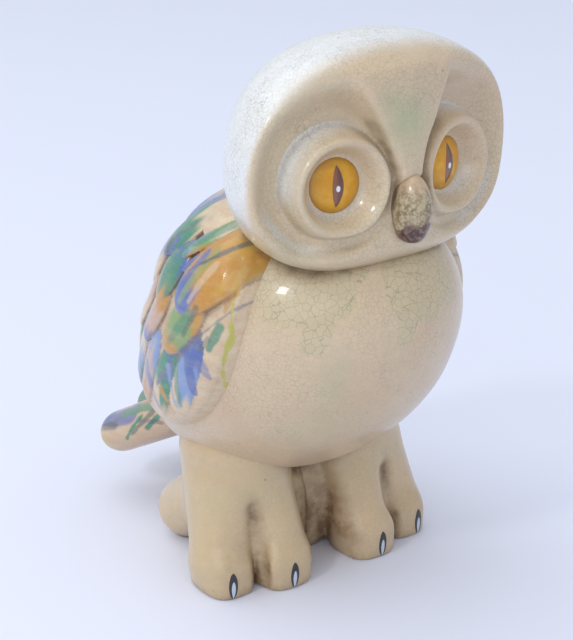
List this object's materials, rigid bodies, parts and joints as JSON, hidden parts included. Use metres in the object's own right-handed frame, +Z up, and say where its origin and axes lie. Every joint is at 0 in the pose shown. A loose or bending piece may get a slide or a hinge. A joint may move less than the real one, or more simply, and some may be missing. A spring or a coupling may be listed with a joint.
{
  "type": "owl figurine",
  "caption": "Standing hollow glazed earthenware owl figurine with sunken facial discs, domed painted eyes, modelled wing feathers and stout clawed feet.",
  "frame": {"origin": "on the ground, under the middle of the figurine's own box", "axes": "+Z up from the soles; the owl looks along -Y, its tail points to +Y, and its own left side is +X"},
  "size_m": [0.162, 0.227, 0.2674],
  "materials": {
    "cream_glaze": "gloss",
    "buff_glaze": "gloss",
    "beak_glaze": "gloss",
    "painted_glaze": "gloss",
    "amber_enamel": "gloss",
    "umber_enamel": "gloss",
    "white_enamel": "gloss",
    "claw_enamel": "gloss"
  },
  "bodies": {
    "root": {"body_shell": "cream_glaze", "head_shell": "cream_glaze", "brow_wedge": "cream_glaze", "beak": "beak_glaze", "right_facial_disc": "cream_glaze", "left_facial_disc": "cream_glaze", "right_eyeball": "amber_enamel", "left_eyeball": "amber_enamel", "right_pupil": "umber_enamel", "left_pupil": "umber_enamel", "right_catchlight": "white_enamel", "left_catchlight": "white_enamel", "right_wing": "painted_glaze", "left_wing": "painted_glaze", "right_scapulars": "painted_glaze", "left_scapulars": "painted_glaze", "right_coverts": "painted_glaze", "left_coverts": "painted_glaze", "right_flight_feathers": "painted_glaze", "left_flight_feathers": "painted_glaze", "tail_feather_right": "painted_glaze", "tail_feather_middle": "painted_glaze", "tail_feather_left": "painted_glaze", "right_leg": "buff_glaze", "left_leg": "buff_glaze", "right_outer_toe": "buff_glaze", "left_outer_toe": "buff_glaze", "right_inner_toe": "buff_glaze", "left_inner_toe": "buff_glaze", "right_hind_toe": "buff_glaze", "left_hind_toe": "buff_glaze", "right_outer_claw": "claw_enamel", "left_outer_claw": "claw_enamel", "right_inner_claw": "claw_enamel", "left_inner_claw": "claw_enamel"}
  },
  "joints": []
}
